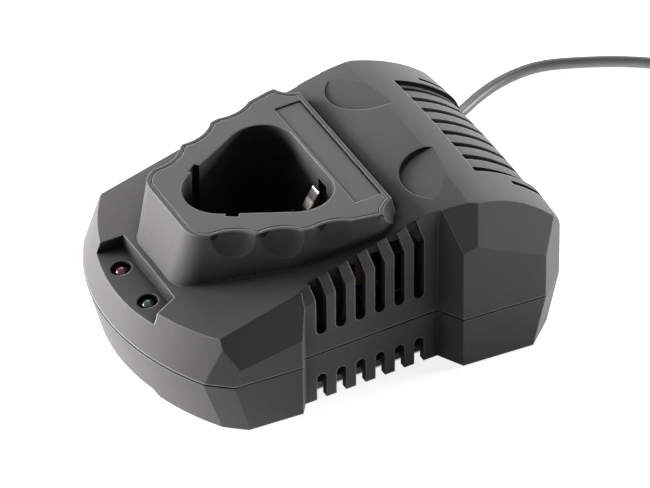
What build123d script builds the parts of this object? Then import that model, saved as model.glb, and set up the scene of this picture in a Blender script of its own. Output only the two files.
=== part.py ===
from build123d import *

import os
from math import atan2, cos, degrees, pi, radians, sin, sqrt, tan

# Battery charger for a three-cell stick battery of a cordless tool.
#
# A drafted plastic housing in two halves carries a raised tower with the battery well, a board with the
# power supply, two indicator lamps on the front ridge and a mains lead that leaves the rear left corner.
#
# Frame: millimetres, +X to the right, +Y to the rear, +Z up. The origin is on the floor under the middle of
# the housing. Sizes along the length are given as a distance behind the front edge and turned into Y by at().

# ---- housing, outside -----------------------------------------------------------------------------------
WIDTH = 93.0
LENGTH = 129.5
PARTING = 16.5           # height of the joint between the two halves
SKIRT_LIFT = 0.5         # the rubber feet hold the skirt this far off the floor
WALL = 2.4
TOP_LIMIT = 75.0         # anything above the finished housing
BIG = 260.0              # edge of the blocks that facets are cut with

FRONT_BOW_RADIUS = 78.6  # the front is an arc in plan
FRONT_LEAN_UP = 18.5     # degrees that the front face leans back above the joint
FRONT_LEAN_DOWN = 14.5   # and below it
REAR_BOW_RADIUS = 700.0
REAR_LEAN_DOWN = 13.0

CORNER_FRONT = (41.0, 11.6)      # where the front arc meets the corner facet, x and distance from the front
CORNER_SIDE = (46.5, 18.8)       # where the corner facet meets the side
CORNER_LEAN_UP = 0.32            # run of the corner facet per millimetre of height above the joint
CORNER_LEAN_DOWN = 0.27          # and below it
REAR_CORNER_LEAN = 0.25
PANEL_FRONT = (42.6, 43.2)       # the slotted panel stands in from the side
PANEL_REAR = (38.5, 88.0)
PANEL_STEP_FRONT = 40.6          # the side steps in here
PANEL_STEP_REAR = 92.5           # and is back out here
CHAMFER_SIDE = 119.5             # the rear chamfer starts here on the side
CHAMFER_REAR = 37.6              # and ends at this x on the rear face

# ---- deck, seen from the side, at the shoulder edge -------------------------------------------------------
DECK_HALF = 40.5                 # x of the shoulder edge that the deck heights belong to
CROWN_RADIUS = 330.0             # the deck is crowned across the width
DECK_NOSE = (-8.0, 23.3)
DECK_RAMP_END = (86.0, 52.6)
DECK_CREST = (96.9, 53.4)
DECK_ROLL = (124.4, 41.1)
DECK_TAIL = (128.7, 31.5)
DECK_RAMP_BLEND = 60.0           # radius between ramp and crest
DECK_ROLL_RADIUS = 49.0
DECK_ROLL_SLOPE = 36.0           # degrees, where the roll goes over into the rear face

# ---- shoulders -------------------------------------------------------------------------------------------
# the two front ones are ruled from their foot up to the deck's edge, which runs straight to the rear
SHOULDER_EDGE = 40.6             # x of the deck's edge over the front shoulder and the slotted panel
SHOULDER_FOOT = ((5.0, 19.1), (43.2, 27.0))      # station and height of the front shoulder's foot on the side
PANEL_FOOT = (34.6, 44.9)        # height of the panel shoulder's foot at PANEL_FRONT and PANEL_REAR
# the rear ones are plane facets, each through three points (x, distance from the front, z)
SHOULDER_DARK = ((46.5, 92.1, 40.2), (46.5, 97.0, 41.6), (40.46, 93.9, 52.9))
SHOULDER_REAR = ((46.5, 97.0, 41.6), (46.5, 115.6, 33.1), (40.46, 109.1, 50.5))

# ---- joint between the halves ----------------------------------------------------------------------------
REVEAL = 0.5                     # shadow gap at the joint
REVEAL_DEPTH = 0.8
TONGUE = 1.6                     # lip of the lower half inside the upper one
TONGUE_THICK = 0.9
FIT_GAP = 0.15                   # clearance between pieces that slide into each other

# ---- side slots ------------------------------------------------------------------------------------------
SLOTS = 6
SLOT_FIRST = 48.7
SLOT_PITCH = 6.6
SLOT_WIDTH = 3.5
SLOT_BOTTOM = 23.6
SLOT_DECK_FIRST = 47.7           # over the shoulder the slots lean forward to these stations at the deck
SLOT_DECK_PITCH = 6.25
SLOT_DECK_X = 38.6               # and run over the deck's edge in to this x
CUT_REACH = 1.5                  # cuts go this far past the wall they open
NOTCH_WIDTH = 3.2                # the slots' partners in the lower half
NOTCH_TOP = 9.3
SKIRT_RELIEF = (18.0, 21.0, 2.2)  # the skirt's front and rear edges are raised: half widths, height

# ---- tower with the battery well -------------------------------------------------------------------------
RIM_HEIGHT = 51.8                # height of the rim at RIM_STATION
RIM_STATION = 34.8
RIM_TILT = 4.19                  # degrees, rising to the rear
TOWER_DEPTH = 25.0               # the tower's section is given again this far below the rim
TOWER_WALL = 3.2
RIM_FRONT = (11.5, 27.6, 8.0)    # corner circles of the rim: x, distance from the front, radius
RIM_MIDDLE = (20.2, 50.0, 10.7)
RIM_REAR = (29.5, 70.9, 6.5)
FOOT_FRONT = (8.2, 22.3, 10.7)   # the same circles TOWER_DEPTH lower
FOOT_MIDDLE = (20.2, 50.0, 14.0)
FOOT_REAR = (29.5, 70.9, 9.8)
SCALLOP_RADIUS = 12.0
SCALLOP_DEPTH = 2.1
SCALLOPS = ((22.4, 30.6, 30), (28.4, 42.6, 24), (33.6, 57.4, 17))  # x, distance, degrees it faces forward
CORNER_SCOOP = (34.1, 75.5)
CORNER_SCOOP_TURN = 45.0         # degrees that the scoop faces rearward
CORNER_SCOOP_RADIUS = 9.0
CORNER_SCOOP_REACH = 6.7         # of its middle, outwards
CORNER_SCOOP_RISE = 1.5          # and above the rim

# ---- battery socket --------------------------------------------------------------------------------------
RIM_LIP = 1.3                    # width of the tower's lip round the socket's rim plate
PLATE = 2.2                      # thickness of the rim plate and of the ledge that carries it
GROOVE = 0.25                    # gap round the rim plate
WELL_FRONT = (0.0, 38.6, 12.8)   # circles that the well's outline wraps
WELL_REAR = (12.4, 56.0, 10.5)
WELL_WALL = 2.4
WELL_CLEARANCE = 0.4             # round the well where it passes through the ledge
WELL_FLOOR = 16.0                # top of the well's floor
KEYWAY = (12.6, 34.9)            # middle of the keyways, one on each side
KEYWAY_WIDTH = 3.9
KEYWAY_DEPTH = 1.4
LABEL_FIELD = (53.4, 8.4)        # bare recess for a label, width and length
LABEL_STATION = 71.6
LABEL_DEPTH = 0.3
HOOK_REACH = 0.9                 # the socket's snap hooks under the ledge
HOOK_WIDTH = 7.0
HOOK_THICK = 1.4

# ---- contacts --------------------------------------------------------------------------------------------
CONTACT_X = 7.0                  # the two power contacts stand this far from the middle
CONTACT_WIDTH = 4.0
SENSE_WIDTH = 3.0
LEAF_THICK = 0.4
HINGE_HEIGHT = 29.0              # the leaf bends here
HINGE_SETBACK = 0.6              # behind the inside of the well's rear wall
LEAF_BEND = 0.8                  # radius of the bends along the leaf's middle
LEAF_BULGE = (5.6, 12.6)         # how far the leaf stands into the well, and how far above the hinge
LEAF_TIP = (2.0, 18.6)
LEAF_SWING = 9.0                 # degrees that a battery pushes the leaf back
LOW_DROP = 12.0                  # the negative and the sense contact sit this much lower
LOW_SHARE = 0.72                 # and are shorter
WINDOW_GAP = 0.7                 # room beside a leaf in its window
WINDOW_HEAD = 1.6                # and above its tip
CARRIER_HALF = 11.5
CARRIER_DEPTH = 5.5
CARRIER_TOP = 27.0
CARRIER_LIFT = 3.0               # the carrier ends this far above the board
ROOT_LIFT = 0.2                  # the strips lie this far above the carrier's top
ROOT_STATION = 71.4

# ---- lamps -----------------------------------------------------------------------------------------------
LAMP_X = 9.15
LAMP_STATION = 8.9
LAMP_HEIGHT = 26.9
LAMP_RADIUS = 2.5
LAMP_HOLE = 3.15
LAMP_LENGTH = 8.6
RECESS_TILT = 11.0               # slope of the recess floor in the front ridge, degrees
RECESS_BACK = (17.4, 13.6)       # half width and station of the recess's back wall
RECESS_MOUTH = (19.8, 6.6)       # and of its ends at the front face
RECESS_PAD = 2.0                 # thickness of its floor
LAMP_BOARD = (36.0, 11.0, 1.2)
LAMP_POST_X = 15.0
LAMP_POST = 2.0                  # radius of the posts that the lamp board is screwed to
LAMP_SCREW = 0.8
LAMP_SCREW_LENGTH = 5.0
LAMP_SCREW_HEAD = (1.7, 1.2)     # radius and height
LAMP_FLANGE = (0.35, 1.0)        # rim at a lamp's foot: how far it stands out, and its height

# ---- rear vents and deck details ---------------------------------------------------------------------------
VENT_START = 106.3
VENT_HALF = 26.3
VENT_PITCH = 6.67
VENT_GAP = 2.56
VENT_COUNT = 8
VENT_END_HEIGHT = 24.0           # the gaps run down the rear face to here
OUTER_VENT_START = 116.5         # the two outermost gaps are shorter
RIB_SUNK = 1.3                   # the ribs lie this far under the shell's surface
CRESCENT = (24.4, 96.2)
CRESCENT_RADIUS = 12.0
CRESCENT_DEPTH = 1.1
CRESCENT_TILT = 10.5             # degrees; the scoop's floor runs out at the crest

# ---- inside ------------------------------------------------------------------------------------------------
FLOOR_BOTTOM = 3.5
FLOOR = 2.2
FOOT_RADIUS = 4.0
FOOT_PLACES = ((32.0, 21.0), (34.0, 114.0))
SCREW_PLACES = ((38.2, 29.5), (38.2, 104.5))
SCREW_RADIUS = 1.5
SCREW_LENGTH = 15.0
SCREW_HEAD_RADIUS = 2.8
SCREW_HEAD = 2.0
BOSS_RADIUS = 4.4
POST_RADIUS = 3.5
HEAD_SEAT = 8.0                  # the screw heads bear at this height
BOARD_HALF = 32.5
BOARD_START = 27.0
BOARD_END = 107.0
BOARD_BOTTOM = 9.0
BOARD = 1.6
BOARD_SCREWS = ((28.5, 31.0), (28.5, 103.0))
STANDOFF_RADIUS = 2.8
SMALL_SCREW = 1.1                # radius of the screws of board and clamp
SMALL_SCREW_LENGTH = 4.7
SMALL_HEAD = (2.2, 1.4)          # radius and height

RIBBON = (7.0, 0.9)              # width and thickness
RIBBON_START = 3.0               # from the middle of the lamp board towards the rear
RIBBON_LIFT = 1.7                # of its run over the main board
RIBBON_LANDING = 1.4             # behind the main board's front edge
RIBBON_BEND = 0.7
CORE = (26.0, 11.0, 22.0)        # transformer core: width, depth, height
CORE_LEG = 4.2                   # radius of its middle leg
BOBBIN_BASE = 1.6
BOBBIN_DEPTH = 21.0
TRANSFORMER_PLACE = (14.0, 93.0)
INPUT_CAP = (8.0, 26.0)          # radius and height
INPUT_CAP_PLACE = (-20.0, 95.0)
OUTPUT_CAP = (4.0, 12.0)
OUTPUT_CAP_PLACES = ((27.5, 78.0), (27.5, 69.0))
HEATSINK = (16.0, 7.0, 24.0)
HEATSINK_FINS = 4
HEATSINK_PLACE = (-21.0, 80.0)
TRANSISTOR = (10.2, 4.5, 9.2)
RECTIFIER_PLACE = (-4.0, 104.0)
FUSE_PLACE = (-29.0, 60.0)
WIRE_LANDING = (-22.0, 105.0)

# ---- mains lead --------------------------------------------------------------------------------------------
CORD_RADIUS = 1.8
CORD_HEIGHT = 8.6                # the lead leaves the rear left chamfer at this height
GROMMET_NECK = 3.9
GROMMET_FLANGE = (5.2, 1.4)      # radius and thickness
GROMMET_TAIL = 22.0
TAIL_RADII = (3.6, 2.5)
TAIL_PITCH = 2.6                 # rings that let the tail bend
TAIL_GROOVE = 1.1
CLAMP_PLACE = (-10.0, -5.5)      # along the lead, behind the wall's outer face
CLAMP_HALF = 7.5
CLAMP_THICK = 2.4
SHEATH_END = -14.0
CORE_WIRE = 0.8                  # radius of the two cores
CORE_OFFSET = 0.95               # of each core from the lead's axis
EXIT_RUN = 8.0                   # the lead goes on straight for this far after its strain relief
CORD_ROUTE = (                   # the lead on the floor, after its straight exit
    (-68.9, 86.7, 1.9),
    (-74.4, 95.4, 1.85),
    (-79.0, 106.6, 1.85),
    (-80.6, 119.0, 1.85),
    (-76.4, 131.5, 1.85),
    (-70.6, 144.2, 1.85),
    (-62.6, 155.6, 1.85),
    (-58.2, 168.6, 1.85),
)
COIL_CENTRE = (-31.0, 178.0)
COIL_RADIUS = 21.5               # to the middle of the turns
COIL_HALF_WIDTH = 7.2
COIL_HEIGHT = 10.8
TIE_THICK = 0.8
TIE_WIDTH = 5.0
TIE_ROOM = 0.35
PLUG_TURN = -45.0                # direction that the plug points in, degrees from +X
PLUG_START = 18.0                # from the coil's edge to the plug's strain relief
PLUG_OUTLINE = ((0.0, 5.0), (9.0, 8.0), (19.0, 17.6), (35.0, 17.6))
PLUG_THICK = 13.6
PLUG_RELIEF = 14.0
PIN_PITCH = 18.6
PIN_RADIUS = 2.0
PIN_LENGTH = 19.0

BODY_CENTRE = Vector(0, 0, 20)


def at(station):
    """Y of a distance behind the front edge."""
    return station - LENGTH / 2


def both_sides(shape):
    """A shape on the right and its mirror image on the left."""
    return shape + mirror(shape, about=Plane.YZ)


def cylinder_between(bottom, top, radius, x, y):
    """An upright cylinder from one height to another."""
    return Pos(x, y, bottom) * Cylinder(radius, top - bottom, align=(Align.CENTER, Align.CENTER, Align.MIN))


def block(x_range, y_range, z_range):
    """A box between three pairs of limits."""
    sizes = [high - low for low, high in (x_range, y_range, z_range)]
    middles = [(low + high) / 2 for low, high in (x_range, y_range, z_range)]
    return Pos(*middles) * Box(*sizes)


def beyond(facet, inset=0.0):
    """The space outside a plane through three points (x, station, z), moved inwards by inset."""
    first, second, third = (Vector(x, at(station), z) for x, station, z in facet)
    normal = (second - first).cross(third - first).normalized()
    if normal.dot(first - BODY_CENTRE) < 0:
        normal = normal * -1
    plane = Plane(first - normal * inset, x_dir=second - first, z_dir=normal)
    return plane * Box(BIG, BIG, BIG, align=(Align.CENTER, Align.CENTER, Align.MIN))


def drum(radius, centre_y, lean_up, lean_down, inset):
    """An upright drum, widest at the joint, whose wall is the bowed front or rear face."""
    radius = radius - inset
    below = radius - PARTING * tan(radians(lean_down))
    above = radius - (TOP_LIMIT - PARTING) * tan(radians(lean_up))
    section = Polyline((0, 0), (below, 0), (radius, PARTING), (above, TOP_LIMIT), (0, TOP_LIMIT), close=True)
    return Pos(0, centre_y, 0) * revolve(Plane.XZ * make_face(section), Axis.Z)


def plan_block(inset):
    """The outline of the sides and the rear chamfers, as a tall block."""
    half = WIDTH / 2
    right = [
        (half, at(-20)),
        (half, at(CHAMFER_SIDE)),
        (CHAMFER_REAR, at(CHAMFER_SIDE) + half - CHAMFER_REAR),
        (CHAMFER_REAR, at(LENGTH + 20)),
    ]
    left = [(-x, y) for x, y in reversed(right)]
    outline = make_face(Polyline(*right, *left, close=True))
    if inset:
        outline = offset(outline, -inset, kind=Kind.INTERSECTION)
    return extrude(outline, TOP_LIMIT)


def crowned(profile):
    """A side profile swept across the width on the deck's crown."""
    axis_height = DECK_CREST[1] - CROWN_RADIUS
    axis = Axis((0, 0, axis_height), (0, 1, 0))
    half_angle = degrees(atan2(WIDTH, CROWN_RADIUS))
    return revolve(profile, axis, 2 * half_angle).rotate(axis, -half_angle)


def deck_profile(inset):
    """Everything under the deck in the side view, on the middle plane."""
    crown = CROWN_RADIUS - sqrt(CROWN_RADIUS**2 - DECK_HALF**2)
    lift = crown - inset
    nose, ramp_end, crest, roll, tail = (
        (at(station), height + lift)
        for station, height in (DECK_NOSE, DECK_RAMP_END, DECK_CREST, DECK_ROLL, DECK_TAIL)
    )
    slope = radians(DECK_ROLL_SLOPE)
    roll = (roll[0] - inset * sin(slope), roll[1] + inset * (1 - cos(slope)))
    tail = (tail[0] - inset, tail[1])
    floor_line = -10.0
    ramp = FilletPolyline(nose, ramp_end, crest, radius=DECK_RAMP_BLEND)
    arc = RadiusArc(crest, roll, DECK_ROLL_RADIUS)
    drop = TangentArc(roll, tail, tangent=arc % 1)
    ends = Polyline(tail, (at(LENGTH + 3) - inset, floor_line), (nose[0], floor_line), nose)
    return Plane.YZ * make_face([ramp, arc, drop, ends])


def corner_planes():
    """The facets at the four upright corners of the right half, above and below the joint."""
    front = [(*CORNER_FRONT, PARTING), (*CORNER_SIDE, PARTING)]
    upper = (CORNER_FRONT[0], CORNER_FRONT[1] + CORNER_LEAN_UP * PARTING, 2 * PARTING)
    lower = (CORNER_FRONT[0], CORNER_FRONT[1] + CORNER_LEAN_DOWN * PARTING, 0.0)
    rear = [(WIDTH / 2, CHAMFER_SIDE, PARTING), (CHAMFER_REAR, CHAMFER_SIDE + WIDTH / 2 - CHAMFER_REAR, PARTING)]
    rear_lower = (WIDTH / 2, CHAMFER_SIDE - REAR_CORNER_LEAN * PARTING, 0.0)
    return [(*front, upper), (*front, lower), (*rear, rear_lower)]


def ruled_cut(sections):
    """The solid ruled between outlines of points (x, z), each at its station."""
    faces = [Plane.XZ.offset(-at(station)) * make_face(Polyline(*points, close=True)) for station, points in sections]
    return loft(faces, ruled=True)


def front_shoulder_cut(inset):
    """The space outside the front shoulder of the right side."""
    reach = BIG / 4
    sections = []
    for station, foot in SHOULDER_FOOT:
        slope = (deck_edge_height(station) - foot) / (WIDTH / 2 - SHOULDER_EDGE)
        shift = inset * sqrt(1 + 1 / slope**2)
        outer = (WIDTH / 2 - shift + reach, foot - slope * reach)
        inner = (SHOULDER_EDGE - shift - WALL, deck_edge_height(station) + slope * WALL)
        sections.append((station, [outer, inner, (inner[0], TOP_LIMIT), (outer[0], TOP_LIMIT)]))
    return ruled_cut(sections)


def panel_cut(inset):
    """The space outside the stepped-in panel and its shoulder on the right side."""
    half = WIDTH / 2
    out = BIG / 4
    sections = []
    for station in (PANEL_STEP_FRONT - 2 * WALL, PANEL_STEP_REAR + 2 * WALL):
        x = panel_x(station)
        foot = panel_foot(station)
        lean = (SHOULDER_EDGE - x) / (deck_edge_height(station) - foot)
        corners = [(x, -1.0), (x, foot), (x + lean * (TOP_LIMIT - foot), TOP_LIMIT)]
        corners = [(corner_x - inset, z) for corner_x, z in corners]
        sections.append((station, corners + [(out, TOP_LIMIT), (out, -1.0)]))
    step_front = (PANEL_FRONT[1] - PANEL_STEP_FRONT) / (half - PANEL_FRONT[0])
    step_rear = (PANEL_STEP_REAR - PANEL_REAR[1]) / (half - PANEL_REAR[0])
    plan = [
        (out, PANEL_STEP_FRONT - step_front * (out - half)),
        PANEL_FRONT,
        (0.0, PANEL_FRONT[1]),
        (0.0, PANEL_REAR[1]),
        PANEL_REAR,
        (out, PANEL_STEP_REAR + step_rear * (out - half)),
    ]
    outline = make_face(Polyline(*[(x, at(station)) for x, station in plan], close=True))
    if inset:
        outline = offset(outline, inset, kind=Kind.INTERSECTION)
    return ruled_cut(sections) & (Pos(0, 0, -1) * extrude(outline, TOP_LIMIT + 1))


def body_form(inset=0.0):
    """The housing's whole outer form, or the same form with every face moved inwards."""
    form = plan_block(inset)
    form &= drum(FRONT_BOW_RADIUS, at(FRONT_BOW_RADIUS), FRONT_LEAN_UP, FRONT_LEAN_DOWN, inset)
    form &= drum(REAR_BOW_RADIUS, at(LENGTH - REAR_BOW_RADIUS), 0, REAR_LEAN_DOWN, inset)
    form &= crowned(deck_profile(inset))
    for facet in corner_planes():
        form -= both_sides(beyond(facet, inset))
    rear_zone = block((-BIG, BIG), (at(PANEL_REAR[1]) - inset, BIG), (-1.0, BIG))
    for facet in (SHOULDER_DARK, SHOULDER_REAR):
        form -= both_sides(beyond(facet, inset) & rear_zone)
    form -= both_sides(front_shoulder_cut(inset))
    form -= both_sides(panel_cut(inset))
    return form


def rim_plane(drop=0.0):
    """The tilted plane of the tower's rim, with its origin over the front edge line, lowered by drop."""
    tilt = radians(RIM_TILT)
    origin = Vector(0, at(RIM_STATION), RIM_HEIGHT)
    normal = Vector(0, -sin(tilt), cos(tilt))
    return Plane(origin - normal * drop, x_dir=(1, 0, 0), z_dir=normal)


def on_rim(x, station, above=0.0):
    """A point over the rim plane."""
    return rim_plane().from_local_coords(Vector(x, station - RIM_STATION, above))


def hull_of(circles, plane, grow=0.0):
    """The outline wrapped round circles (x, station, radius) and their mirror images, as a face."""
    edges = []
    for x, station, radius in circles:
        for side in ([0] if x == 0 else [-1, 1]):
            edges += (Pos(side * x, station - RIM_STATION) * Circle(radius + grow)).edges()
    return plane * make_hull(edges)


def tower_form(inset=0.0, top_drop=0.0):
    """The drafted tower, from the rim plane down into the housing."""
    rim = hull_of((RIM_FRONT, RIM_MIDDLE, RIM_REAR), rim_plane(), -inset)
    foot = hull_of((FOOT_FRONT, FOOT_MIDDLE, FOOT_REAR), rim_plane(TOWER_DEPTH), -inset)
    tower = loft([rim, foot], ruled=True)
    if top_drop:
        tower -= rim_plane(top_drop) * Box(BIG, BIG, BIG, align=(Align.CENTER, Align.CENTER, Align.MIN))
    return tower


def scallop_tools(shrink=0.0):
    """The finger scallops under the rim and the scoop at the tower's rear corners, right side."""
    tools = []
    for x, station, turn in SCALLOPS:
        out = SCALLOP_RADIUS - SCALLOP_DEPTH + shrink
        centre = on_rim(x + out * cos(radians(turn)), station - out * sin(radians(turn)))
        tools.append(Pos(*centre) * Sphere(SCALLOP_RADIUS))
    x, station = CORNER_SCOOP
    reach = CORNER_SCOOP_REACH + shrink
    turn = radians(CORNER_SCOOP_TURN)
    centre = on_rim(x + reach * cos(turn), station + reach * sin(turn), CORNER_SCOOP_RISE)
    tools.append(Pos(*centre) * Sphere(CORNER_SCOOP_RADIUS))
    return tools


def well_outline(grow, plane):
    """The three-lobed outline of the battery well."""
    return hull_of((WELL_FRONT, WELL_REAR), plane, grow)


def upright_well(grow, bottom, top):
    """The well's outline as an upright prism."""
    outline = well_outline(grow, Plane((0, at(RIM_STATION), bottom)))
    return extrude(outline, top - bottom)


def rim_plate_form(gap, top_drop, thickness):
    """The scalloped rim plate inside the tower's lip."""
    outline = hull_of((RIM_FRONT, RIM_MIDDLE, RIM_REAR), rim_plane(top_drop), -RIM_LIP - gap)
    plate = extrude(outline, -thickness)
    for tool in scallop_tools(-RIM_LIP - gap):
        plate -= both_sides(tool)
    return plate


def deck_edge_height(station):
    """Height of the deck's edge on the ramp."""
    rise = (DECK_RAMP_END[1] - DECK_NOSE[1]) / (DECK_RAMP_END[0] - DECK_NOSE[0])
    return DECK_NOSE[1] + rise * (station - DECK_NOSE[0])


def panel_x(station):
    """X of the slotted panel's outer face."""
    share = (station - PANEL_FRONT[1]) / (PANEL_REAR[1] - PANEL_FRONT[1])
    return PANEL_FRONT[0] + share * (PANEL_REAR[0] - PANEL_FRONT[0])


def panel_foot(station):
    """Height at which the panel goes over into its shoulder."""
    share = (station - PANEL_FRONT[1]) / (PANEL_REAR[1] - PANEL_FRONT[1])
    return PANEL_FOOT[0] + share * (PANEL_FOOT[1] - PANEL_FOOT[0])


def slot_stations():
    return [SLOT_FIRST + SLOT_PITCH * number for number in range(SLOTS)]


def side_slots():
    """The six slots of the right side: round at the bottom, leaning forward over the shoulder, square at the deck."""
    tools = []
    half = SLOT_WIDTH / 2
    for number, station in enumerate(slot_stations()):
        bend = panel_foot(station)
        edge = deck_edge_height(station)
        lean = (SLOT_DECK_FIRST + SLOT_DECK_PITCH * number - station) / (edge - bend)
        top = edge + WALL
        top_station = station + lean * (top - bend)
        low = SLOT_BOTTOM + half
        front = [(at(station) - half, low), (at(station) - half, bend), (at(top_station) - half, top)]
        rear = [(y + SLOT_WIDTH, z) for y, z in reversed(front)]
        outline = make_face(Polyline(*front, *rear, close=True)) + Pos(at(station), low) * Circle(half)
        start = panel_x(station) - WALL - CUT_REACH
        through_wall = extrude(Plane.YZ.offset(start) * outline, WIDTH / 2 - start)
        through_wall &= slab(0, edge - WALL - REVEAL)
        over_edge = extrude(Plane.YZ.offset(SLOT_DECK_X) * outline, WIDTH / 2 - SLOT_DECK_X)
        tools.append(through_wall + over_edge)
    return tools


def side_notches():
    """The arched notches under the slots, open at the skirt's lower edge."""
    tools = []
    for station in slot_stations():
        x_range = (panel_x(station) - WALL - CUT_REACH, WIDTH / 2)
        y_range = (at(station) - NOTCH_WIDTH / 2, at(station) + NOTCH_WIDTH / 2)
        crown = NOTCH_TOP - NOTCH_WIDTH / 2
        arch = Rot(0, 90, 0) * Cylinder(NOTCH_WIDTH / 2, x_range[1] - x_range[0])
        tools.append(block(x_range, y_range, (-1, crown)) + Pos(sum(x_range) / 2, at(station), crown) * arch)
    return tools


def slab(bottom, top):
    """All space between two heights."""
    return block((-BIG, BIG), (-BIG, BIG), (bottom, top))


def lamp_plane(depth=0.0):
    """The plane of the lamp recess's floor, or a plane that much below it."""
    tilt = radians(RECESS_TILT)
    normal = Vector(0, -sin(tilt), cos(tilt))
    return Plane(Vector(0, at(LAMP_STATION), LAMP_HEIGHT) - normal * depth, x_dir=(1, 0, 0), z_dir=normal)


def lamp_recess(grow=0.0, floor_drop=0.0):
    """The wedge-shaped recess in the front ridge, open to the front and the top."""
    (back_half, back), (mouth_half, mouth) = RECESS_BACK, RECESS_MOUTH
    corners = [(back_half + grow, back + grow), (mouth_half + grow, mouth), (mouth_half + grow, -3.0)]
    right = [(x, at(station)) for x, station in corners]
    outline = make_face(Polyline(*right, *[(-x, y) for x, y in reversed(right)], close=True))
    prism = extrude(Pos(0, 0, PARTING) * outline, TOP_LIMIT - PARTING)
    space = lamp_plane(floor_drop) * Box(BIG, BIG, BIG, align=(Align.CENTER, Align.CENTER, Align.MIN))
    return prism & space


def vent_gap(x, start, width):
    """One gap of the rear vents, from its front end on the deck down to its end on the rear face."""
    return block((x - width / 2, x + width / 2), (at(start), at(LENGTH + 5)), (VENT_END_HEIGHT, TOP_LIMIT))


def vent_tools():
    """The gaps between the rear ribs."""
    middle = (VENT_COUNT - 1) / 2
    tools = [vent_gap((number - middle) * VENT_PITCH, VENT_START, VENT_GAP) for number in range(VENT_COUNT)]
    outer_x = (middle + 1) * VENT_PITCH
    return tools + [vent_gap(side * outer_x, OUTER_VENT_START, VENT_GAP * 0.8) for side in (-1, 1)]


def crescent_tool():
    """A round scoop in the deck whose floor rises to the rear until it runs out."""
    x, station = CRESCENT
    front = station - CRESCENT_RADIUS
    crown = CROWN_RADIUS - sqrt(CROWN_RADIUS**2 - DECK_HALF**2)
    deck = deck_edge_height(front) + crown * (1 - (x / DECK_HALF) ** 2)
    tilt = radians(CRESCENT_TILT)
    plane = Plane((x, at(front), deck - CRESCENT_DEPTH), x_dir=(1, 0, 0), z_dir=(0, -sin(tilt), cos(tilt)))
    bottom = (Align.CENTER, Align.MIN, Align.MIN)
    return plane * Cylinder(CRESCENT_RADIUS, 12.0, align=bottom)


def upper_housing():
    """The upper half: shell, tower, slots, rear vents, lamp recess, ledge and screw posts."""
    tower = tower_form()
    for tool in scallop_tools():
        tower -= both_sides(tool)
    inner = body_form(WALL) + tower_form(TOWER_WALL, 2 * PLATE)
    housing = body_form() + tower - inner
    # the lamp recess keeps a floor of its own under the ridge
    housing += lamp_recess(RECESS_PAD, RECESS_PAD) & body_form(0.5)
    housing -= lamp_recess()
    for side in (-1, 1):
        housing -= lamp_plane() * Pos(side * LAMP_X, 0, 0) * Cylinder(LAMP_HOLE, 3 * RECESS_PAD)
        post = Cylinder(LAMP_POST, LAMP_LENGTH - RECESS_PAD, align=(Align.CENTER, Align.CENTER, Align.MAX))
        post -= Cylinder(LAMP_SCREW, 2 * LAMP_LENGTH)
        housing += lamp_plane(RECESS_PAD) * Pos(side * LAMP_POST_X, 0, 0) * post
    # screw posts under the shoulders
    for x, station in SCREW_PLACES:
        post = cylinder_between(PARTING, TOP_LIMIT, POST_RADIUS, x, at(station)) & body_form(0.5)
        post -= cylinder_between(PARTING, HEAD_SEAT + SCREW_LENGTH + 1, SCREW_RADIUS, x, at(station))
        housing += both_sides(post)
    # seat of the rim plate and the opening in its ledge
    housing -= rim_plate_form(0, -1.0, PLATE + 1.0)
    housing -= upright_well(WELL_WALL + WELL_CLEARANCE, PARTING, TOP_LIMIT)
    # ribs of the rear vents lie under the surface, with gaps between them
    window = block((-VENT_HALF, VENT_HALF), (at(VENT_START), at(LENGTH + 5)), (VENT_END_HEIGHT, TOP_LIMIT))
    housing -= window - body_form(RIB_SUNK)
    for tool in vent_tools():
        housing -= tool
    for tool in side_slots() + [crescent_tool()]:
        housing -= both_sides(tool)
    # shadow gap and the groove for the lower half's tongue
    housing &= slab(PARTING, TOP_LIMIT)
    housing -= slab(PARTING, PARTING + REVEAL) - body_form(REVEAL_DEPTH)
    groove_wall = body_form(WALL - TONGUE_THICK - FIT_GAP) - body_form(WALL)
    housing -= groove_wall & slab(PARTING, PARTING + TONGUE + FIT_GAP)
    return housing


def exit_plane():
    """Frame of the mains lead: origin on the rear left chamfer, its Z pointing outwards along the lead."""
    lean = REAR_CORNER_LEAN
    across = (WIDTH / 2 + CHAMFER_REAR) / 2
    station = CHAMFER_SIDE + WIDTH / 2 - across - lean * (PARTING - CORD_HEIGHT)
    normal = Vector(-1, 1, -lean).normalized()
    return Plane(Vector(-across, at(station), CORD_HEIGHT), x_dir=(-1, -1, 0), z_dir=normal)


def lead_cylinder(radius, start, end, top_radius=None):
    """A cylinder or cone along the lead between two distances from the chamfer."""
    if top_radius is None:
        shape = Cylinder(radius, end - start, align=(Align.CENTER, Align.CENTER, Align.MIN))
    else:
        shape = Cone(radius, top_radius, end - start, align=(Align.CENTER, Align.CENTER, Align.MIN))
    return exit_plane() * Pos(0, 0, start) * shape


def lead_block(half_width, low, high, start, end):
    """A box along the lead, with low and high measured upwards from the lead's axis."""
    return exit_plane() * block((-half_width, half_width), (low, high), (start, end))


def lead_slot(half_width, start, end):
    """The U-shaped slot that the grommet drops into from above."""
    return lead_cylinder(half_width, start, end) + lead_block(half_width, 0, 30, start, end)


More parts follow.
